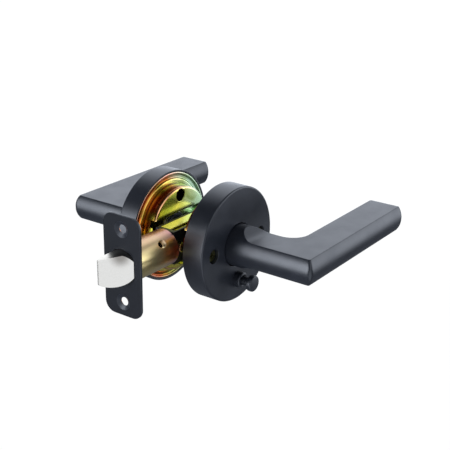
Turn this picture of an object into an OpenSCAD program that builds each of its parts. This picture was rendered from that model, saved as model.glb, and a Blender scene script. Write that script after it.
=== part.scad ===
// Privacy door lever set: two levers on round roses, a square spindle and a spring latch.
// +Z is up, the spindle lies along Y and the latch along X, and the origin is where they cross.
// The interior side, with the button and the screw heads, is at -Y. The bolt points to -X.

/* [Door] */
// Thickness of the door that the set clamps
door_thickness = 35; // [35:0.5:45]
// Distance from the spindle axis to the outer face of the faceplate
backset = 61.8; // [60:0.2:72]

/* [Roses] */
// Outer diameter of both roses
rose_d = 66; // [66:0.5:84]
// Height of the interior rose off the door
rose_in_h = 13; // [12:0.5:20]
// Height of the exterior rose off the door
rose_out_h = 12; // [11:0.5:20]
// Thickness of the rose's side wall
rose_wall = 1.2; // [0.8:0.1:2]
// Thickness of the rose's front face
rose_face = 2; // [1.5:0.1:3]
// Radius on the rose's front edge
rose_edge = 1; // [0.5:0.1:2]

/* [Levers] */
// Diameter of the round section of neck and bar
lever_d = 24; // [22:0.2:26]
// Height of the lever between its top and bottom flats
lever_flat_h = 14.8; // [12:0.2:18]
// Distance from the rose's face to the middle of the bar
lever_reach = 42.4; // [38:0.2:55]
// Distance from the spindle axis to the lever's tip
lever_len = 96; // [90:1:130]
// Plan radius of the inside of the elbow
elbow_r = 11; // [6:0.5:14]
// Distance from the rose's face to where the flats begin
flat_start = 6; // [3:0.5:9]
// Diameter of the sleeve that turns in the bushing
sleeve_d = 15.6; // [14:0.1:16]

/* [Chassis] */
// Diameter of the drum that sits in the door's cross bore
drum_d = 50; // [46:0.5:52]
// Depth that the drum reaches into the door
drum_depth = 7.5; // [5:0.5:9]
// Sheet thickness of the chassis
sheet = 1.2; // [0.8:0.1:1.3]
// Wall thickness of the drum's side
drum_wall = 1; // [0.8:0.1:1.2]
// Height of the channel that clears the latch
channel_h = 20.8; // [20:0.2:24]
// Distance from the spindle axis to each through screw
screw_x = 22; // [19:0.5:22]
// Diameter of the through screws
screw_d = 4; // [3:0.1:4]
// Outer diameter of the screw posts
post_d = 5.6; // [5:0.1:6]
// Diameter of the large hole near the top of each drum
sight_hole_d = 7.5; // [4:0.5:8]

/* [Latch] */
// Height of the faceplate
plate_h = 57.2; // [56:0.2:60]
// Width of the faceplate
plate_w = 25.4; // [24:0.2:30]
// Corner radius of the faceplate
plate_r = 6.35; // [3:0.05:12]
// Distance between the faceplate's screw holes
plate_pitch = 41.3; // [40:0.1:44]
// Diameter of the faceplate's screw holes
plate_hole_d = 4.8; // [4:0.1:5]
// Thickness of the faceplate
plate_t = 1.5; // [1:0.1:2.5]
// Outer diameter of the latch tube
tube_d = 20.8; // [20.4:0.1:21.4]
// Wall thickness of the latch tube
tube_wall = 0.8; // [0.6:0.1:1]
// Distance from the spindle axis to the tube's inner end
tube_end = 27; // [26:0.5:30]
// Throw of the bolt
bolt_throw = 12.7; // [9:0.1:12.7]

/* [Spindle and privacy button] */
// Width of the square spindle
spindle_w = 7; // [6:0.1:7.2]
// Height of the button's axis below the spindle axis
button_drop = 20.8; // [20:0.1:21]
// Travel of the privacy button
button_travel = 4; // [2:0.5:4]
// Diameter of the button's head
button_d = 9.4; // [8:0.1:10]
// Diameter of the privacy rod
rod_d = 3.6; // [3:0.1:3.6]

/* [Hidden] */
$fn = 96;
eps = 0.01;                        // overshoot of a cut past the face it leaves by

door_y = door_thickness / 2;       // each door face
gap = 0.3;                         // clearance between pieces that move apart
run_gap = 0.05;                    // radial clearance of a running fit
seat_gap = 0.1;                    // radial clearance of a fixed, dropped-in fit

in_face = door_y + rose_in_h;      // front of the interior rose
out_face = door_y + rose_out_h;    // front of the exterior rose
neck_hole_r = lever_d / 2 + 0.4;   // opening in the rose around the neck
rim_r = rose_d / 2 - rose_wall;    // inner wall of the rose

lever_r = lever_d / 2;
lever_flat = lever_flat_h / 2;
flat_half_w = sqrt(lever_r * lever_r - lever_flat * lever_flat);
sleeve_r = sleeve_d / 2;
sleeve_end = door_y - 4.3;         // inner end of each sleeve
neck_root = 1;                     // depth of the neck's shoulder behind the rose's face

drum_r = drum_d / 2;
drum_y = door_y - drum_depth;      // door-side face of the drum
floor_y = door_y - 2;              // door-side face of the channel floor
flange_y = door_y + 1.2;           // door-side face of the flange
channel_z = channel_h / 2;
bush_r = channel_z - 1;            // barrel of the bushing, within the channel
bush_flange_r = lever_r;
bush_flange_t = 1.5;
ring_t = 1;                        // thickness of the retaining rings
pin_r = 1.2;
pin_y = floor_y + sheet + bush_flange_t + 3;
post_end = -9;                     // interior end of the screw posts
boss_r = 5.4;                      // bosses in the interior rose around the screws
recess_r = 4;                      // recess for each screw's head
recess_depth = 4.2;
head_r = 3.6;
head_t = 2.2;

tube_r = tube_d / 2;
tube_in = tube_r - tube_wall;
back_t = 1;                        // thickness of the backplate
plate_x = -backset;                // outer face of the faceplate
back_x = plate_x + plate_t;        // faceplate's rear face
tube_start = back_x;
bolt_front_y = -8.2;               // flat on the bolt's interior side
bolt_back_y = 6;                   // flat on the bolt's exterior side
bolt_tip = plate_x - bolt_throw;
bolt_end = plate_x + 9.8;          // inner end of the bolt's head
block_end = bolt_end + 2;          // inner end of the drawbar's block
slide_r = tube_in - gap;           // room inside the tube for what moves or is pushed in
bolt_r = slide_r;
case_y = 6.4;                      // outer face of the case's side plates
case_t = 1.2;
case_neck_z = sqrt(slide_r * slide_r - case_y * case_y) - 0.2;  // half height within the tube
case_front = -(tube_end + 4);      // end of the case within the tube
rail_y = 4;                        // half width of the drawbar's rails
rail_z0 = case_neck_z + gap;       // lower and upper faces of the upper rail
rail_z1 = sqrt(slide_r * slide_r - rail_y * rail_y) - 0.1;
tie_t = 1;                         // thickness of the ties above and below the rails
case_z = rail_z1 + gap + tie_t;    // half height of the case
cam_r = 6.3;
finger_w = 1.5;                    // half width of the cam's fingers
lug_x = finger_w + gap;            // face of the lug that the cam pushes
lug_w = 2;
case_back = lug_x + lug_w + bolt_throw + gap + case_t;
finger_r = rail_z1 + 0.4;          // reach of the cam's fingers

collar_r = 4.6;                    // privacy bushing's outer collar
collar_h = 4.2;
stem_r = 2.6;
stem_end = door_y + 6.5;           // inner end of the button's stem
head_start = collar_h + button_travel + 0.4;
button_h = head_start + 3.6;       // button's full projection from the rose
lock_y = door_y + 3.1;             // door-side face of the lock plate
lock_t = 1.4;
rod_r = rod_d / 2;
rod_out = out_face - rose_face - button_travel - 1.5;

// Turns a shape about Z so that its axis lies along Y, with heights measured along +Y.
module along_y() {
    rotate([-90, 0, 0]) children();
}

// Turns a shape about Z so that its axis lies along X, with heights measured along +X.
module along_x() {
    rotate([0, 90, 0]) children();
}

// Solid disc about an axis parallel to Y, from y0 to y1.
module rod_y(r, y0, y1, x = 0, z = 0) {
    translate([x, y0, z]) along_y() cylinder(h = y1 - y0, r = r);
}

// Solid disc about an axis parallel to Z through the spindle axis, of length h at height y.
module rod_z(r, h, y) {
    translate([0, y, 0]) cylinder(h = h, r = r, center = true, $fn = 32);
}

// Flat ring about an axis parallel to Y.
module ring_y(r_out, r_in, y0, y1, x = 0, z = 0) {
    difference() {
        rod_y(r_out, y0, y1, x, z);
        rod_y(r_in, y0 - eps, y1 + eps, x, z);
    }
}

// Block between two corners.
module block(a, b) {
    translate(a) cube(b - a);
}

// Outline of a rectangle with round corners, centred on the origin.
function round_rect(w, h, r, steps = 8) = [
    for (corner = [0 : 3], i = [0 : steps])
        let (
            a = corner * 90 + i * 90 / steps,
            cx = (corner == 0 || corner == 3 ? 1 : -1) * (w / 2 - r),
            cy = (corner < 2 ? 1 : -1) * (h / 2 - r)
        )
        [cx + r * cos(a), cy + r * sin(a)]
];

// Helical spring along Z: r is the coil's mean radius and wire_r the wire's radius.
module coil(r, wire_r, length, turns, per_turn = 18, sides = 6) {
    steps = turns * per_turn;
    rings = [
        for (i = [0 : steps])
            let (a = i * 360 / per_turn, z = wire_r + i * (length - 2 * wire_r) / steps)
            for (k = [0 : sides - 1])
                let (b = k * 360 / sides, q = r + wire_r * cos(b))
                [q * cos(a), q * sin(a), z + wire_r * sin(b)]
    ];
    walls = [
        for (i = [0 : steps - 1], k = [0 : sides - 1])
            let (n = (k + 1) % sides, p = i * sides)
            each [[p + k, p + sides + k, p + n], [p + n, p + sides + k, p + sides + n]]
    ];
    start = [[for (k = [0 : sides - 1]) k]];
    end = [[for (k = [0 : sides - 1]) (steps + 1) * sides - 1 - k]];
    polyhedron(points = rings, faces = concat(walls, start, end), convexity = 8);
}

// Round cap that covers a chassis: open towards the door, with a rounded front edge.
module rose_cap(h) {
    front = door_y + h;
    edge = [
        for (i = [0 : 4])
            let (a = i * 22.5)
            [rose_d / 2 - rose_edge + rose_edge * cos(a), front - rose_edge + rose_edge * sin(a)]
    ];
    profile = concat(
        [[neck_hole_r, front - rose_face], [rim_r, front - rose_face], [rim_r, door_y]],
        [[rose_d / 2, door_y]], edge, [[neck_hole_r, front]]
    );
    along_y() rotate_extrude() polygon(profile);
}

// Stamped chassis: a drum with a latch channel, a bead around it and a turned-up rim.
module chassis() {
    back = flange_y + sheet;
    profile = [
        [0, drum_y], [drum_r - 0.8, drum_y], [drum_r, drum_y + 0.8], [drum_r, door_y + 0.9],
        [drum_r + 0.8, door_y + 0.1], [drum_r + 2.4, door_y + 0.1], [drum_r + 3.2, flange_y],
        [rim_r - 1.5, flange_y], [rim_r - 0.9, door_y + 0.1], [rim_r - seat_gap, door_y + 0.1],
        [rim_r - seat_gap, back], [drum_r - drum_wall, back],
        [drum_r - drum_wall, drum_y + sheet], [0, drum_y + sheet]
    ];
    inner = drum_r - drum_wall;
    difference() {
        union() {
            difference() {
                along_y() rotate_extrude() polygon(profile);
                intersection() {
                    block([-drum_r, drum_y - 1, -channel_z], [drum_r, drum_y + sheet + 1, channel_z]);
                    rod_y(inner, drum_y - 1, drum_y + sheet + 1);
                }
            }
            intersection() {
                rod_y(inner + eps, drum_y, floor_y + sheet);
                union() {
                    block([-drum_r, floor_y, -channel_z - sheet],
                          [drum_r, floor_y + sheet, channel_z + sheet]);
                    for (s = [-1, 1])
                        translate([0, 0, s * (channel_z + sheet / 2)])
                            block([-drum_r, drum_y, -sheet / 2], [drum_r, floor_y + sheet, sheet / 2]);
                }
            }
        }
        rod_y(bush_r, floor_y - 1, floor_y + sheet + 1);
        for (s = [-1, 1]) {
            rod_y(screw_d / 2 + gap, floor_y - 1, floor_y + sheet + 1, s * screw_x);
            rod_y(post_d / 2 + gap, drum_y - 1, floor_y, s * screw_x);
        }
        rod_y(sight_hole_d / 2, drum_y - 1, drum_y + sheet + 1, 0, drum_r - 4.6);
        rod_y(rod_r + gap, drum_y - 1, drum_y + sheet + 1, 0, -button_drop);
    }
}

// Flanged plain bearing in the chassis floor for a lever's sleeve.
module bushing() {
    difference() {
        union() {
            rod_y(bush_r, floor_y, floor_y + sheet + eps);
            rod_y(bush_flange_r, floor_y + sheet, floor_y + sheet + bush_flange_t);
        }
        rod_y(sleeve_r + run_gap, floor_y - 1, floor_y + sheet + bush_flange_t + 1);
    }
}

// Spring clip in a groove at the end of a sleeve, open at the bottom.
module retaining_ring() {
    y1 = floor_y - gap;
    difference() {
        ring_y(bush_r - 0.4, sleeve_r - 0.8, y1 - ring_t, y1);
        block([-2.5, y1 - ring_t - 1, -bush_r], [2.5, y1 + 1, 0]);
    }
}

// Torsion spring around a sleeve that brings the lever back to level.
module return_spring(front) {
    y0 = floor_y + sheet + bush_flange_t + gap;
    y1 = front - rose_face - neck_root - gap;
    translate([0, y0, 0]) along_y()
        coil(r = bush_flange_r - 1.2, wire_r = 0.9, length = y1 - y0, turns = 3, per_turn = 24);
}

// Half space beyond the mitre plane that joins neck and bar, towards the bar when side is 1.
module mitre_cutter(axis_y, side) {
    size = 4 * lever_r;
    translate([0, axis_y, 0]) rotate([0, 0, 45])
        translate([side > 0 ? 0 : -size, -size, -size]) cube([size, 2 * size, 2 * size]);
}

// Lever: a round neck and bar, mitred at the elbow, with flats above and below.
module lever(front) {
    root = front - rose_face - neck_root;
    axis_y = front + lever_reach;
    tongue_y = front + flat_start + flat_half_w;
    corner = [flat_half_w - eps, axis_y - flat_half_w + eps];
    arc_centre = corner + [elbow_r, -elbow_r];
    difference() {
        union() {
            difference() {
                rod_y(lever_r, root, axis_y + lever_r);
                mitre_cutter(axis_y, 1);
            }
            difference() {
                translate([-lever_r, axis_y, 0]) along_x()
                    cylinder(h = lever_len + lever_r, r = lever_r);
                mitre_cutter(axis_y, -1);
            }
            translate([0, 0, -lever_flat]) linear_extrude(height = lever_flat_h)
                polygon(concat(
                    [corner - [2, -2]],
                    [
                        for (i = [0 : 8])
                            let (a = 180 - i * 11.25)
                            arc_centre + elbow_r * [cos(a), sin(a)]
                    ]
                ));
            rod_y(sleeve_r, sleeve_end, root + eps);
        }
        for (s = [-1, 1])
            translate([0, 0, s * (lever_flat + lever_r / 2)]) {
                translate([0, tongue_y, 0])
                    cylinder(h = lever_r, r = flat_half_w + 0.1, center = true);
                translate([lever_len / 2, tongue_y + 2 * lever_reach, 0])
                    cube([2 * lever_len, 4 * lever_reach, lever_r], center = true);
            }
        ring_y(sleeve_r + 1, sleeve_r - 0.8 - eps, floor_y - gap - ring_t, floor_y - gap);
        block([-spindle_w / 2 - seat_gap, sleeve_end - 1, -spindle_w / 2 - seat_gap],
              [spindle_w / 2 + seat_gap, root, spindle_w / 2 + seat_gap]);
    }
}

module interior_rose() {
    color("#2e3035") mirror([0, 1, 0]) difference() {
        union() {
            rose_cap(rose_in_h);
            for (s = [-1, 1])
                rod_y(boss_r, flange_y + sheet + gap, in_face - rose_face + eps, s * screw_x);
        }
        for (s = [-1, 1]) {
            rod_y(recess_r, in_face - recess_depth, in_face + 1, s * screw_x);
            rod_y(screw_d / 2 + gap, door_y, in_face, s * screw_x);
        }
        rod_y(collar_r - 0.6, in_face - rose_face - 1, in_face + 1, 0, -button_drop);
    }
}

module exterior_rose() {
    color("#2e3035") difference() {
        rose_cap(rose_out_h);
        rod_y(1.4, out_face - rose_face - 1, out_face + 1, 0, -button_drop);
    }
}

module interior_chassis() {
    color("#c9b24e") mirror([0, 1, 0]) chassis();
}

module exterior_chassis() {
    color("#c9b24e") chassis();
}

module interior_bushing() {
    color("#d8d4c4") mirror([0, 1, 0]) bushing();
}

module exterior_bushing() {
    color("#d8d4c4") bushing();
}

module interior_retaining_ring() {
    color("#4a4a4c") mirror([0, 1, 0]) retaining_ring();
}

module exterior_retaining_ring() {
    color("#4a4a4c") retaining_ring();
}

module interior_return_spring() {
    color("#9a9a9c") mirror([0, 1, 0]) return_spring(in_face);
}

module exterior_return_spring() {
    color("#9a9a9c") return_spring(out_face);
}

module interior_lever() {
    color("#2e3035") mirror([0, 1, 0]) lever(in_face);
}

module exterior_lever() {
    color("#2e3035") difference() {
        lever(out_face);
        rod_z(pin_r + run_gap, sleeve_d + 2, pin_y);
    }
}

// Square bar that carries the turn from lever to lever through the latch.
module spindle() {
    half = spindle_w / 2;
    color("#b8a568") difference() {
        block([-half, -in_face + rose_face + 2, -half], [half, out_face - rose_face - 2, half]);
        rod_z(pin_r + run_gap, spindle_w + 2, pin_y);
    }
}

// Roll pin that keeps the spindle in the exterior lever.
module spindle_pin() {
    color("#8e8e90") rod_z(pin_r, sleeve_d - 0.6, pin_y);
}

// Hub in the latch case, with one finger up and one down that pull the drawbar back.
module retractor_cam() {
    hole = spindle_w / 2 + seat_gap;
    color("#2a2a2c") difference() {
        union() {
            rod_y(cam_r, -case_y - 0.6, case_y + 0.6);
            block([-finger_w, -finger_w, -finger_r], [finger_w, finger_w, finger_r]);
        }
        block([-hole, -case_y - 2, -hole], [hole, case_y + 2, hole]);
    }
}

// Two threaded posts riveted to the exterior chassis, for the through screws.
module screw_posts() {
    color("#c9b24e") for (s = [-1, 1])
        ring_y(post_d / 2, screw_d / 2 + run_gap, post_end, floor_y, s * screw_x);
}

// Pan-head screws that draw the two sides together, with cross recesses.
module through_screws() {
    head_y = -in_face + recess_depth;
    color("#d0b860") for (s = [-1, 1])
        difference() {
            union() {
                rod_y(screw_d / 2, head_y - eps, 4, s * screw_x);
                rod_y(head_r, head_y - head_t, head_y, s * screw_x);
            }
            for (a = [0, 90])
                translate([s * screw_x, head_y - head_t, 0]) rotate([0, a, 0])
                    cube([4, 2.4, 0.9], center = true);
        }
}

module plate_holes(countersink) {
    for (s = [-1, 1])
        translate([plate_x, 0, s * plate_pitch / 2]) along_x() {
            translate([0, 0, -1]) cylinder(h = plate_t + back_t + 2, r = plate_hole_d / 2);
            if (countersink)
                translate([0, 0, -eps])
                    cylinder(h = plate_t, r1 = plate_hole_d / 2 + plate_t + 0.6, r2 = plate_hole_d / 2);
        }
}

module latch_faceplate() {
    side = (abs(bolt_front_y) + gap);
    color("#2e3035") difference() {
        translate([plate_x, 0, 0]) rotate([90, 0, 90]) linear_extrude(height = plate_t)
            polygon(round_rect(plate_w, plate_h, plate_r));
        plate_holes(true);
        intersection() {
            translate([plate_x - 1, 0, 0]) along_x() cylinder(h = plate_t + 2, r = bolt_r + gap);
            block([plate_x - 1, -side, -bolt_r - 1], [back_x + 1, side, bolt_r + 1]);
        }
    }
}

module latch_backplate() {
    inset = 1.6;
    color("#c9b24e") difference() {
        translate([back_x, 0, 0]) rotate([90, 0, 90]) linear_extrude(height = back_t)
            polygon(round_rect(plate_w - inset, plate_h - inset, plate_r - inset / 2));
        plate_holes(false);
        translate([back_x - 1, 0, 0]) along_x() cylinder(h = back_t + 2, r = tube_r);
    }
}

module latch_tube() {
    length = -tube_end - tube_start;
    color("#cdb98a") difference() {
        translate([tube_start, 0, 0]) along_x() cylinder(h = length, r = tube_r);
        translate([tube_start - 1, 0, 0]) along_x() cylinder(h = length + 2, r = tube_in);
        translate([-tube_end - 6, 0, 0]) rotate([55, 0, 0]) cylinder(h = tube_r + 2, r = 1.6);
    }
}

// Stamped housing behind the tube: two side plates around the cam, tied above, below and behind.
module latch_case() {
    color("#3a3a3d") difference() {
        union() {
            for (s = [-1, 1])
                translate([0, s * (case_y - case_t / 2), 0]) {
                    block([case_front, -case_t / 2, -case_neck_z], [0, case_t / 2, case_neck_z]);
                    block([-tube_end + gap, -case_t / 2, -case_z], [case_back, case_t / 2, case_z]);
                }
            block([case_front, -case_y, -case_neck_z], [case_front + case_t, case_y, case_neck_z]);
            block([case_back - case_t, -case_y, -case_z], [case_back, case_y, case_z]);
            for (s = [-1, 1])
                translate([-tube_end + gap, 0, s * (case_z - tie_t / 2)])
                    block([0, -case_y, -tie_t / 2], [3, case_y, tie_t / 2]);
        }
        rod_y(cam_r + run_gap, -case_y - 1, case_y + 1);
        rod_y(post_d / 2 + gap, -case_y - 1, case_y + 1, -screw_x);
    }
}

// Spring bolt: a round head with two flats and a slanted face on the interior side.
module latch_bolt() {
    slant_tip_y = bolt_back_y - 1;
    slope = (slant_tip_y - bolt_front_y) / bolt_throw;
    reach = 4;
    color("#d9d7d2") difference() {
        intersection() {
            translate([bolt_tip, 0, 0]) along_x() cylinder(h = bolt_end - bolt_tip, r = bolt_r);
            block([bolt_tip - 1, bolt_front_y, -bolt_r - 1], [bolt_end + 1, bolt_back_y, bolt_r + 1]);
        }
        translate([0, 0, -bolt_r - 1]) linear_extrude(height = 2 * bolt_r + 2)
            polygon([
                [bolt_tip - reach, slant_tip_y + slope * reach],
                [plate_x + reach, bolt_front_y - slope * reach],
                [bolt_tip - reach, bolt_front_y - slope * reach]
            ]);
    }
}

// Tail of the bolt: a block in the tube and four rails that pass the screw post and the cam.
module bolt_drawbar() {
    color("#3a3a3d") {
        intersection() {
            translate([bolt_end, 0, 0]) along_x() cylinder(h = block_end - bolt_end, r = bolt_r);
            block([bolt_end - 1, bolt_front_y, -bolt_r], [block_end + 1, bolt_back_y, bolt_r]);
        }
        for (side = [-1, 1])
            mirror([0, 0, side > 0 ? 0 : 1]) {
                for (s = [-1, 1])
                    mirror([0, s > 0 ? 0 : 1, 0])
                        block([block_end - eps, finger_w + 0.4, rail_z0], [lug_x + lug_w, rail_y, rail_z1]);
                block([lug_x, -rail_y, rail_z0], [lug_x + lug_w, rail_y, rail_z1]);
            }
    }
}

module bolt_spring() {
    length = case_front - block_end;
    color("#a8a8aa") translate([block_end, 0, 0]) along_x()
        coil(r = 4.8, wire_r = 0.5, length = length, turns = 6);
}

module privacy_button() {
    color("#2e3035") mirror([0, 1, 0]) {
        rod_y(stem_r, stem_end, in_face + head_start + eps, 0, -button_drop);
        translate([0, in_face + head_start, -button_drop]) along_y() rotate_extrude()
            polygon([
                [0, 0], [button_d / 2 - 0.7, 0], [button_d / 2, 0.7],
                [button_d / 2, button_h - head_start - 1.2],
                [button_d / 2 - 0.5, button_h - head_start - 0.4],
                [button_d / 2 - 1.4, button_h - head_start], [0, button_h - head_start]
            ]);
    }
}

module privacy_bushing() {
    color("#2e3035") mirror([0, 1, 0]) difference() {
        union() {
            rod_y(collar_r, in_face, in_face + collar_h, 0, -button_drop);
            rod_y(collar_r - 0.7, in_face - rose_face, in_face + eps, 0, -button_drop);
            rod_y(collar_r + 0.6, in_face - rose_face - 1.4, in_face - rose_face, 0, -button_drop);
        }
        rod_y(stem_r + run_gap, in_face - rose_face - 2, in_face + collar_h + 1, 0, -button_drop);
    }
}

module privacy_rod() {
    color("#b8a568") rod_y(rod_r, -stem_end, rod_out, 0, -button_drop);
}

module privacy_lock_plate() {
    color("#c9b24e") mirror([0, 1, 0]) difference() {
        union() {
            block([-3, lock_y, -button_drop], [3, lock_y + lock_t, -bush_flange_r - 1.2]);
            rod_y(2.9, lock_y, lock_y + lock_t, 0, -button_drop);
        }
        rod_y(rod_r, lock_y - 1, lock_y + lock_t + 1, 0, -button_drop);
    }
}

module privacy_spring() {
    wire = 0.3;
    y0 = drum_y + sheet;
    color("#a8a8aa") mirror([0, 1, 0]) translate([0, y0, -button_drop]) along_y()
        coil(r = rod_r + gap + wire, wire_r = wire, length = lock_y - y0, turns = 5, per_turn = 16);
}

interior_rose();
interior_chassis();
interior_bushing();
interior_return_spring();
interior_lever();
interior_retaining_ring();
exterior_rose();
exterior_chassis();
exterior_bushing();
exterior_return_spring();
exterior_lever();
exterior_retaining_ring();
spindle();
spindle_pin();
retractor_cam();
screw_posts();
through_screws();
latch_faceplate();
latch_backplate();
latch_tube();
latch_case();
latch_bolt();
bolt_drawbar();
bolt_spring();
privacy_button();
privacy_bushing();
privacy_rod();
privacy_lock_plate();
privacy_spring();
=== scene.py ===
import math

import bmesh
import bpy
from mathutils import Matrix, Vector


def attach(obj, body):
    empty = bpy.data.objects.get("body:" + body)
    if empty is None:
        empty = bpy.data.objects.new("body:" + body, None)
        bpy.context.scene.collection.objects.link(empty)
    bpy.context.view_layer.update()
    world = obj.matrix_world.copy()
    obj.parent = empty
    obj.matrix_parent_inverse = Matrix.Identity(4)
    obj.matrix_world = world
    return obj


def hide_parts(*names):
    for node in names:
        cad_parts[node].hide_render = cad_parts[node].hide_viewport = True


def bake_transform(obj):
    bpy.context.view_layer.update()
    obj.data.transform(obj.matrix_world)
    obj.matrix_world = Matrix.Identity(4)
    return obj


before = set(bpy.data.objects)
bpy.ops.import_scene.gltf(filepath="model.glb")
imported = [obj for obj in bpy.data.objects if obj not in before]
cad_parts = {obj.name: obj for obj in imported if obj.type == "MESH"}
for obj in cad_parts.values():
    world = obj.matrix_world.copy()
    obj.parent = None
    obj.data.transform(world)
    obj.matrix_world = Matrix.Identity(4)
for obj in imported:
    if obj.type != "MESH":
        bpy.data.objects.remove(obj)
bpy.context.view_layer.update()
mm = 0.001
tau = 2 * math.pi



def hexColour(code):
    # sRGB hex to the linear numbers that the shaders work in
    parts = [int(code[i:i + 2], 16) / 255 for i in (0, 2, 4)]
    return [p / 12.92 if p <= 0.04045 else ((p + 0.055) / 1.055) ** 2.4 for p in parts] + [1.0]


def addNode(tree, kind, settings=None, links=None):
    node = tree.nodes.new(kind)
    for key, value in (settings or {}).items():
        if key == "stops":
            ramp = node.color_ramp
            while len(ramp.elements) > 1:
                ramp.elements.remove(ramp.elements[-1])
            ramp.elements[0].position, ramp.elements[0].color = value[0]
            for position, colour in value[1:]:
                ramp.elements.new(position).color = colour
        elif isinstance(key, str) and hasattr(node, key):
            setattr(node, key, value)
        else:
            node.inputs[key].default_value = value
    for key, source in (links or {}).items():
        tree.links.new(source, node.inputs[key])
    return node


def newMaterial(name):
    material = bpy.data.materials.new(name)
    material.use_nodes = True
    tree = material.node_tree
    shader = tree.nodes["Principled BSDF"]
    coords = addNode(tree, "ShaderNodeTexCoord").outputs["Object"]
    return material, tree, shader, coords


def roundCorners(points, radii, steps=4):
    # closed outline with its corners rounded, each by its own radius
    rounded = []
    count = len(points)
    for i in range(count):
        here = Vector(points[i])
        before = (Vector(points[i - 1]) - here)
        after = (Vector(points[(i + 1) % count]) - here)
        radius = radii[i] if isinstance(radii, (list, tuple)) else radii
        if radius <= 0:
            rounded.append(tuple(here))
            continue
        half = before.angle(after) / 2
        reach = min(radius / math.tan(half), before.length * 0.49, after.length * 0.49)
        radius = reach * math.tan(half)
        before.normalize()
        after.normalize()
        centre = here + (before + after).normalized() * (radius / math.sin(half))
        start = here + before * reach - centre
        end = here + after * reach - centre
        turn = start.angle(end)
        for k in range(steps + 1):
            t = k / steps
            mixed = (start * math.sin((1 - t) * turn) + end * math.sin(t * turn)) / math.sin(turn)
            rounded.append(tuple(centre + mixed))
    return rounded


def wireLoop(bm, points):
    verts = [bm.verts.new(p) for p in points]
    for i in range(len(verts)):
        bm.edges.new((verts[i - 1], verts[i]))
    return verts


def growRing(bm, verts, points):
    # extrudes a closed ring of edges and puts the new ring at its points
    edges = [bm.edges.get((verts[i - 1], verts[i])) for i in range(len(verts))]
    made = bmesh.ops.extrude_edge_only(bm, edges=edges)
    fresh = {v for v in made["geom"] if isinstance(v, bmesh.types.BMVert)}
    ring = []
    for v, p in zip(verts, points):
        new = next(e.other_vert(v) for e in v.link_edges if e.other_vert(v) in fresh)
        new.co = p
        ring.append(new)
    return ring


def loft(bm, rings, closed=False):
    # skin over rings of the same count, capped at both ends or joined end to end
    first = verts = wireLoop(bm, rings[0])
    for points in rings[1:]:
        verts = growRing(bm, verts, points)
    if closed:
        edges = [bm.edges.get((r[i - 1], r[i])) for r in (first, verts) for i in range(len(r))]
        bmesh.ops.bridge_loops(bm, edges=edges)
    else:
        bm.faces.new(first)
        bm.faces.new(verts)


def spinAbout(bm, profile, axis, centre=(0, 0, 0), steps=96):
    # profile is (radius, height) pairs about the axis, closed end to end
    axis = Vector(axis)
    across = Vector((1, 0, 0)) if abs(axis.x) < 0.5 else Vector((0, 0, 1))
    points = [Vector(centre) + across * r + axis * h for r, h in profile]
    verts = wireLoop(bm, points)
    edges = [bm.edges.get((verts[i - 1], verts[i])) for i in range(len(verts))]
    bmesh.ops.spin(bm, geom=verts + edges, cent=centre, axis=axis, dvec=(0, 0, 0),
                   angle=tau, steps=steps, use_merge=True)
    tidyMesh(bm)


def tidyMesh(bm):
    bmesh.ops.remove_doubles(bm, verts=bm.verts, dist=2e-6)
    bmesh.ops.dissolve_degenerate(bm, edges=bm.edges, dist=1e-6)
    bmesh.ops.recalc_face_normals(bm, faces=bm.faces)


def makeObject(name, bm, side=1):
    # sizes are in millimetres up to here; side -1 mirrors a piece to the interior side
    bmesh.ops.scale(bm, vec=(mm, side * mm, mm), verts=bm.verts)
    tidyMesh(bm)
    mesh = bpy.data.meshes.new(name)
    bm.to_mesh(mesh)
    bm.free()
    made = bpy.data.objects.new(name, mesh)
    bpy.context.scene.collection.objects.link(made)
    return made


def combine(piece, tools, operation="DIFFERENCE"):
    for tool in tools:
        step = piece.modifiers.new("combine", "BOOLEAN")
        step.operation = operation
        step.solver = "EXACT"
        step.object = tool
    bpy.context.view_layer.update()
    shaped = piece.evaluated_get(bpy.context.evaluated_depsgraph_get())
    mesh = bpy.data.meshes.new_from_object(shaped)
    piece.modifiers.clear()
    piece.data = mesh
    for tool in tools:
        bpy.data.objects.remove(tool)
    return piece


def spunTool(profile, axis, centre=(0, 0, 0), steps=48, side=1):
    bm = bmesh.new()
    spinAbout(bm, profile, axis, centre, steps)
    return makeObject("tool", bm, side)


def blockTool(low, high, side=1, bevel=0):
    bm = bmesh.new()
    bmesh.ops.create_cube(bm, size=1)
    bmesh.ops.scale(bm, vec=[b - a for a, b in zip(low, high)], verts=bm.verts)
    bmesh.ops.translate(bm, vec=[(a + b) / 2 for a, b in zip(low, high)], verts=bm.verts)
    if bevel:
        bmesh.ops.bevel(bm, geom=bm.edges[:], offset=bevel, affect="EDGES", segments=2,
                        profile=0.5, material=-1)
    return makeObject("tool", bm, side)


def finishPiece(piece, name, material, body, nodes, angle=32, weighted=True, pressed=None):
    piece.name = name
    mesh = piece.data
    mesh.name = name
    mesh.materials.clear()
    mesh.materials.append(material)
    mesh.shade_smooth()
    mesh.set_sharp_from_angle(angle=math.radians(angle))
    if weighted:
        normals = piece.modifiers.new("evenNormals", "WEIGHTED_NORMAL")
        normals.keep_sharp = True
        normals.weight = 50
    if pressed:
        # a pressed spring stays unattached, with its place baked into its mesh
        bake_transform(piece)
    else:
        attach(piece, body)
    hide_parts(*nodes)
    return piece


def arc(centre, radius, start, end, steps):
    # points of an arc in a profile, angles in degrees
    return [(centre[0] + radius * math.cos(math.radians(start + (end - start) * i / steps)),
             centre[1] + radius * math.sin(math.radians(start + (end - start) * i / steps)))
            for i in range(steps + 1)]


print("materials")


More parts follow.
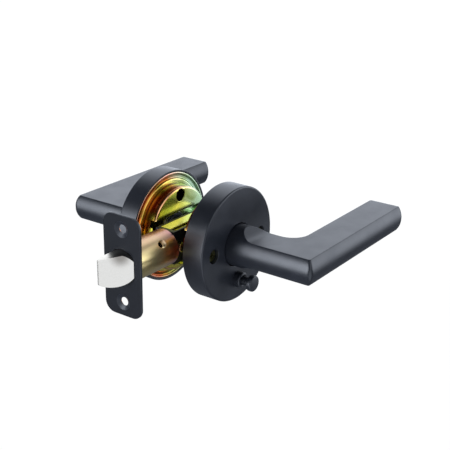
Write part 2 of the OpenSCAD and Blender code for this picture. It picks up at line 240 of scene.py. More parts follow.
def powderCoat(name, dark, light, rough, gloss):
    # black polyester powder coat on zinc and steel: satin and a little blue, faint orange peel from the oven
    material, tree, shader, coords = newMaterial(name)
    patches = addNode(tree, "ShaderNodeTexNoise", {"Scale": 90, "Detail": 3}, {"Vector": coords})
    satin = addNode(tree, "ShaderNodeMapRange",
                    {"From Min": 0.35, "From Max": 0.65, "To Min": rough - 0.03, "To Max": rough + 0.03},
                    {"Value": patches.outputs["Fac"]})
    tree.links.new(satin.outputs[0], shader.inputs["Roughness"])
    tone = addNode(tree, "ShaderNodeValToRGB",
                   {"stops": [(0.3, hexColour(dark)), (0.7, hexColour(light))]},
                   {"Fac": patches.outputs["Fac"]})
    tree.links.new(tone.outputs[0], shader.inputs["Base Color"])
    shader.inputs["Specular IOR Level"].default_value = gloss
    # orange peel cells about 0.7 mm across and a 0.2 mm grain
    peel = addNode(tree, "ShaderNodeTexNoise", {"Scale": 1400, "Detail": 1}, {"Vector": coords})
    grain = addNode(tree, "ShaderNodeTexNoise", {"Scale": 5000, "Detail": 0}, {"Vector": coords})
    both = addNode(tree, "ShaderNodeMix", {"data_type": "FLOAT", 0: 0.35},
                   {2: peel.outputs["Fac"], 3: grain.outputs["Fac"]})
    bump = addNode(tree, "ShaderNodeBump", {"Strength": 0.1, "Distance": 0.00005},
                   {"Height": both.outputs[0]})
    tree.links.new(bump.outputs[0], shader.inputs["Normal"])
    return material


def yellowChromate():
    # stamped steel, zinc plated and yellow chromated: the film's thickness turns it from gold to mint and copper
    material, tree, shader, coords = newMaterial("yellowChromateZincPlate")
    parts = addNode(tree, "ShaderNodeSeparateXYZ", {}, {0: coords})
    flat = addNode(tree, "ShaderNodeCombineXYZ", {},
                   {"X": parts.outputs["X"], "Y": parts.outputs["Z"]})
    radius = addNode(tree, "ShaderNodeVectorMath", {"operation": "LENGTH"}, {0: flat.outputs[0]})
    cloud = addNode(tree, "ShaderNodeTexNoise", {"Scale": 70, "Detail": 2, "Distortion": 0.8},
                    {"Vector": coords})
    drift = addNode(tree, "ShaderNodeMapRange",
                    {"From Min": 0.3, "From Max": 0.7, "To Min": -0.0003, "To Max": 0.0003},
                    {"Value": cloud.outputs["Fac"]})
    moved = addNode(tree, "ShaderNodeMath", {"operation": "ADD"},
                    {0: radius.outputs["Value"], 1: drift.outputs[0]})
    share = addNode(tree, "ShaderNodeMapRange",
                    {"From Min": 0.0, "From Max": 0.034, "To Min": 0.0, "To Max": 1.0},
                    {"Value": moved.outputs[0]})
    # radius over 34 mm: face, bend, drum wall, root, bead, groove and rim. The dark brown stops on the drum wall are
    # painted shade for the dim light between the drum and the rose
    bands = addNode(tree, "ShaderNodeValToRGB", {"stops": [
        (0.0, hexColour("c9b95a")), (0.55, hexColour("bcb850")), (0.69, hexColour("e2d060")),
        (0.72, hexColour("f0b080")), (0.733, hexColour("8c4a1c")), (0.742, hexColour("6e3410")),
        (0.756, hexColour("e8c050")), (0.78, hexColour("f6e478")), (0.812, hexColour("ecbc58")),
        (0.83, hexColour("a85c22")), (0.88, hexColour("8e4418")), (0.9, hexColour("c07040")),
        (0.918, hexColour("f0b49c")), (1.0, hexColour("d89a78"))]}, {"Fac": share.outputs[0]})
    # the film thickens towards one side of the sheet, where it turns mint, and clouds olive in between
    lean = addNode(tree, "ShaderNodeMapRange",
                   {"From Min": -0.002, "From Max": 0.018, "To Min": 0.0, "To Max": 0.8},
                   {"Value": parts.outputs["X"]})
    mint = addNode(tree, "ShaderNodeMix", {"data_type": "RGBA", 7: hexColour("c4f0c8")},
                   {0: lean.outputs[0], 6: bands.outputs[0]})
    olive = addNode(tree, "ShaderNodeMapRange",
                    {"From Min": 0.5, "From Max": 0.66, "To Min": 0.0, "To Max": 0.6},
                    {"Value": cloud.outputs["Fac"]})
    film = addNode(tree, "ShaderNodeMix", {"data_type": "RGBA", 7: hexColour("8a9a34")},
                   {0: olive.outputs[0], 6: mint.outputs[2]})
    tree.links.new(film.outputs[2], shader.inputs["Base Color"])
    shader.inputs["Metallic"].default_value = 1.0
    rough = addNode(tree, "ShaderNodeMapRange",
                    {"From Min": 0.3, "From Max": 0.7, "To Min": 0.15, "To Max": 0.24},
                    {"Value": cloud.outputs["Fac"]})
    tree.links.new(rough.outputs[0], shader.inputs["Roughness"])
    # faint drawing waves about 3 mm across left by the press
    wave = addNode(tree, "ShaderNodeTexNoise", {"Scale": 330, "Detail": 1}, {"Vector": coords})
    bump = addNode(tree, "ShaderNodeBump", {"Strength": 0.15, "Distance": 0.0001},
                   {"Height": wave.outputs["Fac"]})
    tree.links.new(bump.outputs[0], shader.inputs["Normal"])
    return material


def tubeZinc():
    # drawn steel tube, clear yellow zinc: satin with faint rings from the drawing die
    material, tree, shader, coords = newMaterial("satinYellowZincTube")
    stretch = addNode(tree, "ShaderNodeMapping", {"Scale": (3000, 60, 60)}, {"Vector": coords})
    rings = addNode(tree, "ShaderNodeTexNoise", {"Scale": 1, "Detail": 2}, {"Vector": stretch.outputs[0]})
    parts = addNode(tree, "ShaderNodeSeparateXYZ", {}, {0: coords})
    along = addNode(tree, "ShaderNodeMapRange", {"From Min": -0.06, "From Max": -0.027},
                    {"Value": parts.outputs["X"]})
    tone = addNode(tree, "ShaderNodeValToRGB", {"stops": [
        (0.0, hexColour("f2dc98")), (0.65, hexColour("ead098")), (0.9, hexColour("c89c84")),
        (1.0, hexColour("c08c90"))]}, {"Fac": along.outputs[0]})
    # painted reflection: the top of the tube is painted pinker and darker, standing in for the dimmer light it
    # reflects from above
    paintedReflectionShare = addNode(tree, "ShaderNodeMapRange",
                    {"From Min": 0.006, "From Max": 0.0102, "To Min": 0.0, "To Max": 0.6},
                    {"Value": parts.outputs["Z"]})
    paintedReflectionTint = addNode(tree, "ShaderNodeMix", {"data_type": "RGBA", 7: hexColour("b88878")},
                    {0: paintedReflectionShare.outputs[0], 6: tone.outputs[0]})
    shade = addNode(tree, "ShaderNodeMix", {"data_type": "RGBA", "blend_type": "MULTIPLY", 0: 0.15},
                    {6: paintedReflectionTint.outputs[2], 7: rings.outputs["Color"]})
    tree.links.new(shade.outputs[2], shader.inputs["Base Color"])
    shader.inputs["Metallic"].default_value = 1.0
    rough = addNode(tree, "ShaderNodeMapRange", {"To Min": 0.26, "To Max": 0.36},
                    {"Value": rings.outputs["Fac"]})
    tree.links.new(rough.outputs[0], shader.inputs["Roughness"])
    return material


def plainMetal(name, dark, light, rough, metallic=1.0, scale=600):
    # light cloud and fine grain of a machined, sintered, blackened or moulded small part
    material, tree, shader, coords = newMaterial(name)
    cloud = addNode(tree, "ShaderNodeTexNoise", {"Scale": scale, "Detail": 3}, {"Vector": coords})
    tone = addNode(tree, "ShaderNodeValToRGB",
                   {"stops": [(0.3, hexColour(dark)), (0.7, hexColour(light))]},
                   {"Fac": cloud.outputs["Fac"]})
    tree.links.new(tone.outputs[0], shader.inputs["Base Color"])
    spread = addNode(tree, "ShaderNodeMapRange", {"To Min": rough - 0.05, "To Max": rough + 0.05},
                     {"Value": cloud.outputs["Fac"]})
    tree.links.new(spread.outputs[0], shader.inputs["Roughness"])
    shader.inputs["Metallic"].default_value = metallic
    bump = addNode(tree, "ShaderNodeBump", {"Strength": 0.08, "Distance": 0.00005},
                   {"Height": cloud.outputs["Fac"]})
    tree.links.new(bump.outputs[0], shader.inputs["Normal"])
    return material


def boltNickel():
    # sintered steel, satin nickel plated: pale and soft, with a painted shade spot darkening the top of the nose
    # near its root
    material, tree, shader, coords = newMaterial("satinNickelSinteredSteel")
    grain = addNode(tree, "ShaderNodeTexNoise", {"Scale": 1500, "Detail": 2}, {"Vector": coords})
    tone = addNode(tree, "ShaderNodeValToRGB",
                   {"stops": [(0.3, hexColour("d6d0c4")), (0.7, hexColour("dcd6ca"))]},
                   {"Fac": grain.outputs["Fac"]})
    # painted shade: a soft dark spot on the top of the nose near its root
    away = addNode(tree, "ShaderNodeVectorMath", {"operation": "DISTANCE", 1: (-0.0665, -0.0035, 0.0078)},
                   {0: coords})
    paintedShadeSpot = addNode(tree, "ShaderNodeMapRange",
                   {"interpolation_type": "SMOOTHSTEP", "From Min": 0.001, "From Max": 0.0075,
                    "To Min": 0.75, "To Max": 0.0}, {"Value": away.outputs["Value"]})
    film = addNode(tree, "ShaderNodeMix", {"data_type": "RGBA", 7: hexColour("6a6258")},
                   {0: paintedShadeSpot.outputs[0], 6: tone.outputs[0]})
    tree.links.new(film.outputs[2], shader.inputs["Base Color"])
    shader.inputs["Metallic"].default_value = 1.0
    spread = addNode(tree, "ShaderNodeMapRange", {"To Min": 0.27, "To Max": 0.3},
                     {"Value": grain.outputs["Fac"]})
    tree.links.new(spread.outputs[0], shader.inputs["Roughness"])
    bump = addNode(tree, "ShaderNodeBump", {"Strength": 0.02, "Distance": 0.00002},
                   {"Height": grain.outputs["Fac"]})
    tree.links.new(bump.outputs[0], shader.inputs["Normal"])
    return material


coatMaterial = powderCoat("blackPolyesterPowderCoat", "14171d", "191c23", 0.35, 0.6)
# a copy of the coat with its reflection turned down, so the faceplate stays dark while the necks catch a highlight:
# painted shade
dimmedPlateCoatMaterial = powderCoat("dimmedReflectionPowderCoat", "14161a", "17191e", 0.5, 0.14)
chromateMaterial = yellowChromate()
tubeMaterial = tubeZinc()
nickelMaterial = boltNickel()
oxideMaterial = plainMetal("blackOxideStampedSteel", "161618", "242427", 0.42, 0.6)
# yellow zinc screws with a dark olive base colour: painted shade of the deep recesses they sit in
shadedScrewMaterial = plainMetal("shadedYellowZincScrewSteel", "5a5a34", "77744a", 0.3)
strapMaterial = plainMetal("paleYellowZincStrap", "d2ca8e", "e2daa2", 0.25)
springMaterial = plainMetal("oiledSpringSteel", "6f6f71", "8b8b8d", 0.3)
nylonMaterial = plainMetal("naturalMouldedNylon", "cfcabb", "d9d5c8", 0.5, 0.0)

print("levers")
lever = {
    "round": 12.0,       # radius of neck and bar
    "flat": 7.4,         # height of the top and bottom flats from the axis
    "edge": 0.5,         # rounding where a flat meets a round side
    "reach": 42.4,       # rose face to the bar's middle
    "tip": 96.0,
    "elbow": 11.0,       # plan radius inside the elbow
    "corner": 1.0,       # rounding of the outer mitre at the flats
    "cornerSide": 2.6,   # and half way down its side
    "tongue": 6.0,       # rose face to where the flats begin
    "tipCorner": 4.0,
    "sleeve": 7.8,
    "sleeveEnd": 13.2,
    "socket": 3.6,       # half width of the square socket
}
sideSteps, edgeSteps, flatSteps = 20, 3, 8


def leverRing(height):
    # one section as (across, up) pairs; height is how high the flat stands
    r, e = lever["round"], lever["edge"]
    up = height - e
    out = math.sqrt(max((r - e) ** 2 - up ** 2, 0))
    turn = math.degrees(math.atan2(up, out)) if out > 1e-9 else 90
    quarter = [(r * math.cos(math.radians(turn * i / sideSteps)),
                r * math.sin(math.radians(turn * i / sideSteps))) for i in range(sideSteps + 1)]
    quarter += arc((out, up), e, turn, 90, edgeSteps)[1:]
    top = [(out - 2 * out * i / flatSteps, height) for i in range(1, flatSteps)]
    upper = quarter + top + [(-x, z) for x, z in reversed(quarter)]
    return upper + [(-x, -z) for x, z in upper[1:-1]]


def leverFan(ring, turn, pivot, front):
    # the section swung about the elbow's inner centre by turn degrees
    flatEdge = max(x for x, z in ring if abs(z) > lever["flat"] - 1e-6)
    c, s = math.cos(math.radians(turn)), math.sin(math.radians(turn))

    def outerReach(side, z):
        rc = lever["corner"] + (lever["cornerSide"] - lever["corner"]) * (1 - abs(z) / lever["flat"])
        tangent = math.degrees(math.atan2(side - rc, side))
        if turn <= tangent:
            return side / c
        if turn >= 90 - tangent:
            return side / s
        dot = (c + s) * (side - rc)
        return dot + math.sqrt(dot * dot - 2 * (side - rc) ** 2 + rc * rc)

    points = []
    for x, z in ring:
        if abs(z) > lever["flat"] - 1e-6:
            share = (flatEdge - x) / (2 * flatEdge)
            reach = (pivot - flatEdge) * (1 - share) + outerReach(pivot + flatEdge, z) * share
        else:
            reach = pivot - x if x >= 0 else outerReach(pivot - x, z)
        points.append((pivot - reach * c, front + lever["reach"] - pivot + reach * s, z))
    return points


def makeLever(name, front, side, node):
    r, flat, e = lever["round"], lever["flat"], lever["edge"]
    root = front - 3
    full = leverRing(r)
    halfWidth = math.sqrt(r * r - flat * flat)
    tongueY = front + lever["tongue"] + halfWidth
    pivot = halfWidth + lever["elbow"]
    axisY = front + lever["reach"]

    def disc(radius, y):
        return [(x * radius / r, y, z * radius / r) for x, z in full]

    def square(half, y):
        return [(x * half / max(abs(x), abs(z)), y, z * half / max(abs(x), abs(z))) for x, z in full]

    sleeve, end = lever["sleeve"], lever["sleeveEnd"]
    rings = [square(lever["socket"], root), square(lever["socket"], end + 0.4),
             square(lever["socket"] + 0.3, end), disc(sleeve - 0.4, end), disc(sleeve, end + 0.4),
             disc(sleeve, 14.2), disc(sleeve - 0.8, 14.2), disc(sleeve - 0.8, 15.2),
             disc(sleeve, 15.2), disc(sleeve, root), disc(r - 0.4, root), disc(r, root + 0.4)]
    # the flats run out into the round neck as a rounded tongue
    flatTurn = math.degrees(math.asin((flat - e) / (r - e)))
    for i in range(17):
        turn = 90 - (90 - flatTurn) * i / 16
        height = (r - e) * math.sin(math.radians(turn)) + e
        back = math.sqrt(max(height ** 2 - flat ** 2, 0))
        rings.append([(x, tongueY - back, z) for x, z in leverRing(height)])
    section = leverRing(flat)
    swing = [0, 9, 18, 27, 34, 39, 41, 42, 42.6, 43.2, 43.8, 44.4]
    swing += [45] + [90 - turn for turn in reversed(swing)]
    for turn in swing:
        rings.append(leverFan(section, turn, pivot, front))
    corner, tip = lever["tipCorner"], lever["tip"]
    for x in (45, 70):
        rings.append([(x, axisY - l, z) for l, z in section])
    for i in range(7):
        turn = math.radians(90 * i / 6)
        shrink = corner * (1 - math.cos(turn))
        x = tip - 0.35 - corner + corner * math.sin(turn)
        rings.append([(x, axisY - l * (1 - shrink / r), z * (1 - 0.6 * shrink / flat)) for l, z in section])
    last = rings[-1]
    for share, out in ((0.9, 0.12), (0.6, 0.28), (0.25, 0.35)):
        rings.append([(tip - 0.35 + out, axisY + (y - axisY) * share, z * share) for x, y, z in last])
    bm = bmesh.new()
    loft(bm, rings)
    piece = makeObject(name, bm, side)
    finishPiece(piece, name, coatMaterial, "handles", [node])


makeLever("interiorLeverBody", 30.5, -1, "interior_lever")
makeLever("exteriorLeverBody", 29.5, 1, "exterior_lever")

print("roses")
rose = {
    "outer": 33.0, "inner": 31.8, "face": 2.0, "edge": 1.0, "neckHole": 12.4, "seat": 17.5,
    "screwX": 22.0, "recess": 4.0, "recessDepth": 4.2, "boss": 5.4, "buttonZ": -20.8,
}


def flaredHole(radius, front, depth, flare=0.35, over=1.0):
    # profile of a cutter whose mouth eases the rim of the hole
    return [(0, front - depth), (radius, front - depth)] + \
        arc((radius + flare, front - flare), flare, 180, 90, 4) + \
        [(radius + flare, front + over), (0, front + over)]


def makeRose(name, front, side, node, interior):
    inner = roundCorners(
        [(rose["neckHole"], front - rose["face"]), (rose["inner"], front - rose["face"]),
         (rose["inner"], rose["seat"]), (rose["outer"], rose["seat"]), (rose["outer"], front),
         (rose["neckHole"], front)],
        [0.2, 0.6, 0.2, 0.2, rose["edge"], 0.4], 5)
    bm = bmesh.new()
    spinAbout(bm, inner, (0, 1, 0), steps=160)
    piece = makeObject(name, bm, side)
    holes = []
    if interior:
        bosses = []
        for x in (-rose["screwX"], rose["screwX"]):
            bosses.append(spunTool([(0, 20.2), (rose["boss"], 20.2), (rose["boss"], front - 1), (0, front - 1)],
                                   (0, 1, 0), (x, 0, 0), side=side))
            holes.append(spunTool(flaredHole(rose["recess"], front, rose["recessDepth"]),
                                  (0, 1, 0), (x, 0, 0), side=side))
            holes.append(spunTool([(0, 18), (2.3, 18), (2.3, front - 2), (0, front - 2)],
                                  (0, 1, 0), (x, 0, 0), side=side))
        combine(piece, bosses, "UNION")
        holes.append(spunTool(flaredHole(4.0, front, 3, 0.2), (0, 1, 0), (0, 0, rose["buttonZ"]), side=side))
    else:
        holes.append(spunTool(flaredHole(1.4, front, 3, 0.3), (0, 1, 0), (0, 0, rose["buttonZ"]), side=side))
    combine(piece, holes)
    finishPiece(piece, name, coatMaterial, "lock_body", [node])


makeRose("interiorRoseCap", 30.5, -1, "interior_rose", True)
makeRose("exteriorRoseCap", 29.5, 1, "exterior_rose", False)

print("chassis")
chassis = {
    "drum": 25.0, "face": 10.0, "sheet": 1.2, "wall": 1.0, "seat": 17.5, "floor": 15.5,
    "flange": 18.7, "channel": 10.4, "rim": 31.7, "bend": 1.6,
}


def makeChassis(name, side, node):
    d, f, s = chassis["drum"], chassis["face"], chassis["sheet"]
    seat, flange, rim = chassis["seat"] + 0.1, chassis["flange"], chassis["rim"]
    inner = d - chassis["wall"]
    back = flange + s
    outline = [(0, f), (d, f), (d, seat + 0.5), (d + 0.6, seat), (d + 2.6, seat), (d + 3.4, flange),
               (rim - 1.6, flange), (rim - 0.9, seat), (rim, seat), (rim, back),
               (inner, back), (inner, f + s), (0, f + s)]
    radii = [0, chassis["bend"], 0.3, 0.7, 0.9, 0.6, 0.5, 0.3, 0.35, 0.3, 0.3, 0.6, 0]
    bm = bmesh.new()
    spinAbout(bm, roundCorners(outline, radii, 4), (0, 1, 0), steps=144)
    piece = makeObject(name, bm, side)
    half = chassis["channel"]
    # the latch channel: opened in the drum's face, then lined with its own folded sheet
    combine(piece, [blockTool((-23.98, f - 2, -half - 0.6), (23.98, f + s + 2, half + 0.6), side)])
    section = roundCorners(
        [(-half - s, f + 0.02), (-half, f + 0.02), (-half, chassis["floor"]), (half, chassis["floor"]),
         (half, f + 0.02), (half + s, f + 0.02), (half + s, chassis["floor"] + s),
         (-half - s, chassis["floor"] + s)],
        [0.1, 0.8, 0.5, 0.5, 0.8, 0.1, 1.2, 1.2], 3)
    bm = bmesh.new()
    loft(bm, [[(x, y, z) for z, y in section] for x in (-30, 30)])
    lining = makeObject("tool", bm, side)
    combine(lining, [spunTool([(0, 5), (inner + 0.04, 5), (inner + 0.04, 25), (0, 25)], (0, 1, 0),
                              steps=144, side=side)], "INTERSECT")
    combine(piece, [lining], "UNION")
    cuts = [spunTool([(0, 14), (9.4, 14), (9.4, 18), (0, 18)], (0, 1, 0), steps=64, side=side),
            spunTool([(0, f - 1), (4.1, f - 1)] + arc((4.1, f), 0.35, -90, -90, 1) +
                     arc((4.1, f + 0.35), 0.35, 270, 180, 4) + [(3.75, f + 3), (0, f + 3)],
                     (0, 1, 0), (0, 0, d - 4.6), side=side),
            spunTool([(0, f - 1), (2.1, f - 1), (2.1, f + 3), (0, f + 3)], (0, 1, 0), (0, 0, -20.8), side=side)]
    for x in (-22, 22):
        cuts.append(spunTool([(0, f - 1), (3.1, f - 1), (3.1, 15.45), (0, 15.45)], (0, 1, 0), (x, 0, 0), side=side))
        cuts.append(spunTool([(0, 14), (2.3, 14), (2.3, 18), (0, 18)], (0, 1, 0), (x, 0, 0), side=side))
    combine(piece, cuts)
    finishPiece(piece, name, chromateMaterial, "lock_body", [node])


makeChassis("interiorChassisSheet", -1, "interior_chassis")
makeChassis("exteriorChassisSheet", 1, "exterior_chassis")

print("latch")
latch = {
    "plateX": -61.8, "plateT": 1.5, "backT": 1.0, "height": 57.2, "width": 25.4, "corner": 6.35,
    "pitch": 41.3, "hole": 2.4, "tubeR": 10.4, "tubeIn": 9.6, "tubeEnd": -27.0, "boltR": 9.3, "noseTop": 6.0,
    "dimple": {"x": -38.0, "round": 48, "ball": 6.0, "depth": 0.75, "hole": 1.7, "shift": 1.5},
}


def plateRing(x, inset, width, height, corner):
    points = roundCorners(
        [(width / 2 - inset, height / 2 - inset), (inset - width / 2, height / 2 - inset),
         (inset - width / 2, inset - height / 2), (width / 2 - inset, inset - height / 2)],
        corner - inset, 10)
    return [(x, y, z) for y, z in points]


def makePlates():
    x0 = latch["plateX"]
    x1 = x0 + latch["plateT"]
    w, h, c = latch["width"], latch["height"], latch["corner"]
    bm = bmesh.new()
    loft(bm, [plateRing(x1, 0.15, w, h, c), plateRing(x1 - 0.15, 0, w, h, c),
              plateRing(x0 + 0.4, 0, w, h, c), plateRing(x0 + 0.15, 0.09, w, h, c),
              plateRing(x0 + 0.03, 0.24, w, h, c), plateRing(x0, 0.45, w, h, c)])
    face = makeObject("latchFaceplate", bm)
    hole = latch["hole"]
    sink = [(0, x0 - 1), (hole + 2.25, x0 - 1), (hole + 2.25, x0 - 0.001), (hole + 1.95, x0 + 0.2),
            (hole, x1 - 0.25), (hole, x1 + 1), (0, x1 + 1)]
    cuts = [spunTool(sink, (1, 0, 0), (0, 0, s * latch["pitch"] / 2)) for s in (-1, 1)]
    mouth = spunTool([(0, x0 - 1), (9.6, x0 - 1), (9.6, x1 + 1), (0, x1 + 1)], (1, 0, 0), steps=72)
    combine(mouth, [blockTool((x0 - 5, -8.5, -12), (x1 + 5, 8.5, 12))], "INTERSECT")
    combine(face, cuts + [mouth])
    finishPiece(face, "latchFaceplate", dimmedPlateCoatMaterial, "lock_body", ["latch_faceplate"])
    # the plate's flat front keeps the dimmed copy of the coat, painted shade; the rest of the plate, its eased edges
    # with it, takes the full glossy coat
    face.data.materials.append(coatMaterial)
    for polygon in face.data.polygons:
        polygon.material_index = int(polygon.normal.x > -0.97)

    x2 = x1 + latch["backT"]
    bm = bmesh.new()
    loft(bm, [plateRing(x1, 0, w - 1.6, h - 1.6, c - 0.8), plateRing(x2 - 0.25, 0, w - 1.6, h - 1.6, c - 0.8),
              plateRing(x2, 0.25, w - 1.6, h - 1.6, c - 0.8)])
    back = makeObject("latchBackplate", bm)
    cuts = [spunTool([(0, x1 - 1), (hole + 0.9, x1 - 1), (hole + 0.9, x2 + 1), (0, x2 + 1)], (1, 0, 0),
                     (0, 0, s * latch["pitch"] / 2)) for s in (-1, 1)]
    cuts.append(spunTool([(0, x1 - 1), (10.4, x1 - 1), (10.4, x2 + 1), (0, x2 + 1)], (1, 0, 0), steps=72))
    combine(back, cuts)
    finishPiece(back, "latchBackplate", chromateMaterial, "lock_body", ["latch_backplate"])


def makeTube():
    start = latch["plateX"] + latch["plateT"]
    r, bore, end = latch["tubeR"], latch["tubeIn"], latch["tubeEnd"]
    bm = bmesh.new()
    profile = roundCorners([(bore, start), (bore, end), (r, end), (r, start)], [0.1, 0.2, 0.35, 0.1], 3)
    spinAbout(bm, profile, (1, 0, 0), steps=96)
    tube = makeObject("latchTube", bm)
    # dimple pressed into the wall, with a small drain hole on the side towards the faceplate
    dimple = latch["dimple"]
    turned = Matrix.Rotation(math.radians(dimple["round"]), 4, "X")
    high = r - dimple["depth"] + dimple["ball"]
    scoop = arc((0, high), dimple["ball"], -90, 0, 14) + [(0, high)]
    drain = [(0, bore - 1), (dimple["hole"], bore - 1), (dimple["hole"], r + 1), (0, r + 1)]
    for profile, x in ((scoop, dimple["x"]), (drain, dimple["x"] - dimple["shift"])):
        bm = bmesh.new()
        spinAbout(bm, profile, (0, 0, 1), (x, 0, 0), 40)
        bmesh.ops.transform(bm, matrix=turned, verts=bm.verts)
        combine(tube, [makeObject("tool", bm)])
    finishPiece(tube, "latchTube", tubeMaterial, "lock_body", ["latch_tube"])


def makeBolt():
    r = latch["boltR"]
    tip, end = -74.5, -52.0
    plan = roundCorners([(end, -8.2), (end, 6), (tip, 6), (tip, 5), (latch["plateX"], -8.2)],
                        [0.2, 0.2, 0.5, 0.35, 0.8], 4)
    bm = bmesh.new()
    loft(bm, [[(x, y, z) for x, y in plan] for z in (-12, 12)])
    bolt = makeObject("latchBolt", bm)
    barrel = spunTool(roundCorners([(0, tip - 2), (r, tip - 2), (r, end + 0.5), (0, end + 0.5)], 0, 2),
                      (1, 0, 0), steps=96)
    bm = bmesh.new()
    nose = [(tip - 1, latch["noseTop"]), (latch["plateX"], r + 0.05), (end + 1, r + 0.05)]
    taper = roundCorners(nose + [(end + 1, -r - 1), (tip - 1, -r - 1)], [0, 1.5, 0, 0, 0], 4)
    loft(bm, [[(x, y, z) for x, z in taper] for y in (-12, 12)])
    combine(bolt, [barrel, makeObject("tool", bm)], "INTERSECT")
    finishPiece(bolt, "latchBolt", nickelMaterial, "bolt", ["latch_bolt"])


makePlates()
makeTube()
makeBolt()

print("button")
button = {"z": -20.8, "front": 30.5, "collar": 4.6, "collarH": 4.2, "stem": 2.6, "head": 4.7}


def makeButton():
    front, z = button["front"], button["z"]
    bm = bmesh.new()
    start = front + button["collarH"] + 4.4
    top = start + 3.6
    head = button["head"]
    profile = [(0, 24), (2.3, 24), (2.6, 24.3), (2.6, start - 0.6)] + \
        arc((head - 0.9, start + 0.9), 0.9, 250, 360, 5) + \
        [(head, top - 1.3)] + arc((head - 1.0, top - 1.3), 1.0, 0, 80, 4) + [(0, top)]
    spinAbout(bm, profile, (0, 1, 0), (0, 0, z), 48)
    piece = makeObject("privacyButtonKnob", bm, -1)
    finishPiece(piece, "privacyButtonKnob", coatMaterial, "privacy", ["privacy_button"])
    collar = button["collar"]
    bm = bmesh.new()
    profile = roundCorners([(2.65, 27.1), (collar + 0.6, 27.1), (collar + 0.6, 28.5), (collar - 0.7, 28.5),
                            (collar - 0.7, front), (collar, front), (collar, front + button["collarH"]),
                            (2.65, front + button["collarH"])],
                           [0.1, 0.2, 0.2, 0.05, 0.05, 0.1, 0.9, 0.5], 4)
    spinAbout(bm, profile, (0, 1, 0), (0, 0, z), 48)
    piece = makeObject("privacyButtonCollar", bm, -1)
    finishPiece(piece, "privacyButtonCollar", coatMaterial, "lock_body", ["privacy_bushing"])


makeButton()

print("lock works")
# node: (piece, material, slot, body, rounding of its edges in mm)
works = {
    "interior_bushing": ("interiorBushingTurned", nylonMaterial, "nylon", "lock_body", 0.3),
    "exterior_bushing": ("exteriorBushingTurned", nylonMaterial, "nylon", "lock_body", 0.3),
    "interior_retaining_ring": ("interiorRingPressed", springMaterial, "spring_steel", "handles", 0.15),
    "exterior_retaining_ring": ("exteriorRingPressed", springMaterial, "spring_steel", "handles", 0.15),
    "spindle": ("squareSpindleBar", chromateMaterial, "yellow_zinc", "handles", 0.5),
    "spindle_pin": ("spindleRollPin", springMaterial, "spring_steel", "handles", 0.25),
    "retractor_cam": ("retractorCamHub", oxideMaterial, "black_steel", "handles", 0.25),
    "screw_posts": ("threadedPosts", chromateMaterial, "yellow_zinc", "lock_body", 0.3),
    "through_screws": ("panHeadScrews", shadedScrewMaterial, "yellow_zinc", "lock_body", 0.35),
    "latch_case": ("latchCaseFolded", oxideMaterial, "black_steel", "lock_body", 0.2),
    "bolt_drawbar": ("boltDrawbarStamped", chromateMaterial, "yellow_zinc", "bolt", 0.2),
    "privacy_rod": ("privacyRodDrawn", chromateMaterial, "yellow_zinc", "privacy", 0.2),
    "privacy_lock_plate": ("privacyPlateStamped", chromateMaterial, "yellow_zinc", "privacy", 0.15),
}


def easedCopy(nodeName):
    # the part's own solid with its triangles joined into clean faces and its edges eased
    pieceName, material, slotName, body, ease = works[nodeName]
    bm = bmesh.new()
    bm.from_mesh(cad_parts[nodeName].data)
    bmesh.ops.remove_doubles(bm, verts=bm.verts, dist=2e-6)
    bmesh.ops.dissolve_limit(bm, angle_limit=math.radians(1), verts=bm.verts, edges=bm.edges)
    mesh = bpy.data.meshes.new(pieceName)
    bm.to_mesh(mesh)
    bm.free()
    piece = bpy.data.objects.new(pieceName, mesh)
    bpy.context.scene.collection.objects.link(piece)
    bevel = piece.modifiers.new("easedEdges", "BEVEL")
    bevel.width = ease * mm
    bevel.segments = 2
    bevel.limit_method = "ANGLE"
    bevel.angle_limit = math.radians(40)
    return finishPiece(piece, pieceName, material, body, [nodeName])


for nodeName in works:
    easedCopy(nodeName)

caseStrap = {"low": (-26.6, -1.4, 8.85), "high": (16.8, 4.9, 9.58), "ease": 0.12}


def makeStraps():
    # folded yellow sheet over the top and bottom of the case
    for name, flip in (("caseStrapUpper", 1), ("caseStrapLower", -1)):
        low, high = list(caseStrap["low"]), list(caseStrap["high"])
        low[2], high[2] = sorted((low[2] * flip, high[2] * flip))
        strap = blockTool(low, high, 1, caseStrap["ease"])
        finishPiece(strap, name, strapMaterial, "lock_body", ["latch_case"])


makeStraps()

print("springs")
# axis, coil centre, start and length along the axis, mean radius, wire radius, turns
springs = {
    "interior_return_spring": ("interiorSpringCoil", "Y", (0, 0), -18.5, -8.7, 10.8, 0.9, 3, "lock_body"),
    "exterior_return_spring": ("exteriorSpringCoil", "Y", (0, 0), 18.5, 7.7, 10.8, 0.9, 3, "lock_body"),
    "bolt_spring": ("boltSpringCoil", "X", (0, 0), -50.0, 19.0, 4.8, 0.5, 6, "lock_body"),
    "privacy_spring": ("privacySpringCoil", "Y", (0, -20.8), -11.2, -9.4, 2.4, 0.3, 5, "lock_body"),
}

# the moving body, where the coil follows it and where it stands still
pressedEnds = {
    "bolt_spring": ("bolt", (-0.050, 0, 0), (-0.031, 0, 0)),
    "privacy_spring": ("privacy", (0, -0.0206, -0.0208), (0, -0.0112, -0.0208)),
}


def makeSpring(nodeName):
    name, axis, centre, start, length, radius, wire, turns, body = springs[nodeName]
    perTurn, around = 32, 10
    steps = turns * perTurn
    rings = []
    for i in range(steps + 1):
        turn = tau * i / perTurn
        sign = 1 if length > 0 else -1
        along = start + sign * wire + i * (length - 2 * sign * wire) / steps
        ring = []
        for k in range(around):
            b = tau * k / around
            q = radius + wire * math.cos(b)
            h = along + wire * math.sin(b)
            p, r = q * math.cos(turn) + centre[0], q * math.sin(turn) + centre[1]
            ring.append((p, h, r) if axis == "Y" else (h, p, r))
        rings.append(ring)
    bm = bmesh.new()
    loft(bm, rings)
    finishPiece(makeObject(name, bm), name, springMaterial, body, [nodeName],
                pressed=pressedEnds.get(nodeName))


for nodeName in springs:
    makeSpring(nodeName)

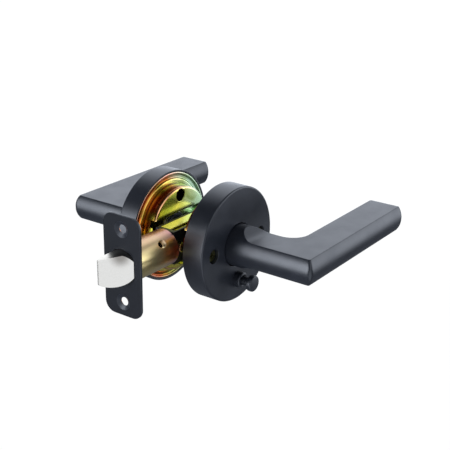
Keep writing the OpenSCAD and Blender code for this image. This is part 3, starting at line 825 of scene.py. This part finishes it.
print("stage, light and camera")
studio = {
    "floorZ": -0.1,
    "cameraAt": (-0.395018, -0.305422, 0.197820),
    "back": (-0.7572, -0.544287, 0.361108),
    "right": (0.587544, -0.809096, 0.012485),
    "up": (0.285376, 0.22162, 0.93244),
    "lens": 74.96,
}
bm = bmesh.new()
bmesh.ops.create_grid(bm, x_segments=1, y_segments=1, size=6)
bmesh.ops.translate(bm, vec=(0, 0, studio["floorZ"]), verts=bm.verts)
floorMesh = bpy.data.meshes.new("floor")
bm.to_mesh(floorMesh)
bm.free()
floor = bpy.data.objects.new("floor", floorMesh)
bpy.context.scene.collection.objects.link(floor)
floorMaterial, floorTree, floorShader, floorCoords = newMaterial("whiteSweepPaper")
floorShader.inputs["Base Color"].default_value = hexColour("303030")
floorShader.inputs["Roughness"].default_value = 0.9
floorShader.inputs["Emission Color"].default_value = (1, 1, 1, 1)
floorShader.inputs["Emission Strength"].default_value = 0.97
floorMesh.materials.append(floorMaterial)
floor.visible_glossy = False
floor.visible_shadow = False

world = bpy.data.worlds.new("studio")
bpy.context.scene.world = world
world.use_nodes = True
worldTree = world.node_tree
direction = addNode(worldTree, "ShaderNodeTexCoord").outputs["Generated"]
# soft light panels as (direction, full angle, fade-out angle, brightness)
panels = [
    ((0.757, 0.544, 0.361), 24, 50, 1.7),
    ((0.76, -0.57, 0.30), 14, 36, 1.35),
    ((0.81, -0.57, 0.06), 8, 30, 1.5),
    ((-0.87, 0.46, 0.06), 10, 30, 6.5),
    ((-0.568, -0.726, -0.361), 20, 44, 1.15),
    ((-0.2, -0.77, 0.58), 12, 36, 1.3),
    ((0.0, 0.0, -1.0), 30, 80, 0.12),
]
total = None
for toward, full, fade, brightness in panels:
    aim = Vector(toward).normalized()
    dot = addNode(worldTree, "ShaderNodeVectorMath", {"operation": "DOT_PRODUCT", 1: aim}, {0: direction})
    soft = addNode(worldTree, "ShaderNodeMapRange",
                   {"interpolation_type": "SMOOTHSTEP", "From Min": math.cos(math.radians(fade)),
                    "From Max": math.cos(math.radians(full)), "To Min": 0.0, "To Max": brightness},
                   {"Value": dot.outputs["Value"]})
    if total is None:
        total = soft.outputs[0]
    else:
        total = addNode(worldTree, "ShaderNodeMath", {"operation": "ADD"}, {0: total, 1: soft.outputs[0]}).outputs[0]
total = addNode(worldTree, "ShaderNodeMath", {"operation": "ADD", 1: 0.07}, {0: total}).outputs[0]
background = worldTree.nodes["Background"]
background.inputs["Color"].default_value = (0.90, 0.965, 1.09, 1)
worldTree.links.new(total, background.inputs["Strength"])
# straight lines of sight past the floor's edge meet the same white as the floor
sweep = addNode(worldTree, "ShaderNodeBackground", {"Color": (1, 1, 1, 1), "Strength": 1.0})
sight = addNode(worldTree, "ShaderNodeLightPath").outputs["Is Camera Ray"]
seen = addNode(worldTree, "ShaderNodeMixShader", {},
               {0: sight, 1: background.outputs[0], 2: sweep.outputs[0]})
worldTree.links.new(seen.outputs[0], worldTree.nodes["World Output"].inputs["Surface"])

camera = bpy.data.objects.new("camera", bpy.data.cameras.new("camera"))
bpy.context.scene.collection.objects.link(camera)
camera.data.lens = studio["lens"]
camera.data.sensor_width = 36
camera.data.clip_start = 0.01
camera.data.clip_end = 50
turned = Matrix((studio["right"], studio["up"], studio["back"])).transposed().to_4x4()
camera.matrix_world = Matrix.Translation(studio["cameraAt"]) @ turned
bpy.context.scene.camera = camera
bpy.context.scene.view_settings.view_transform = "Standard"
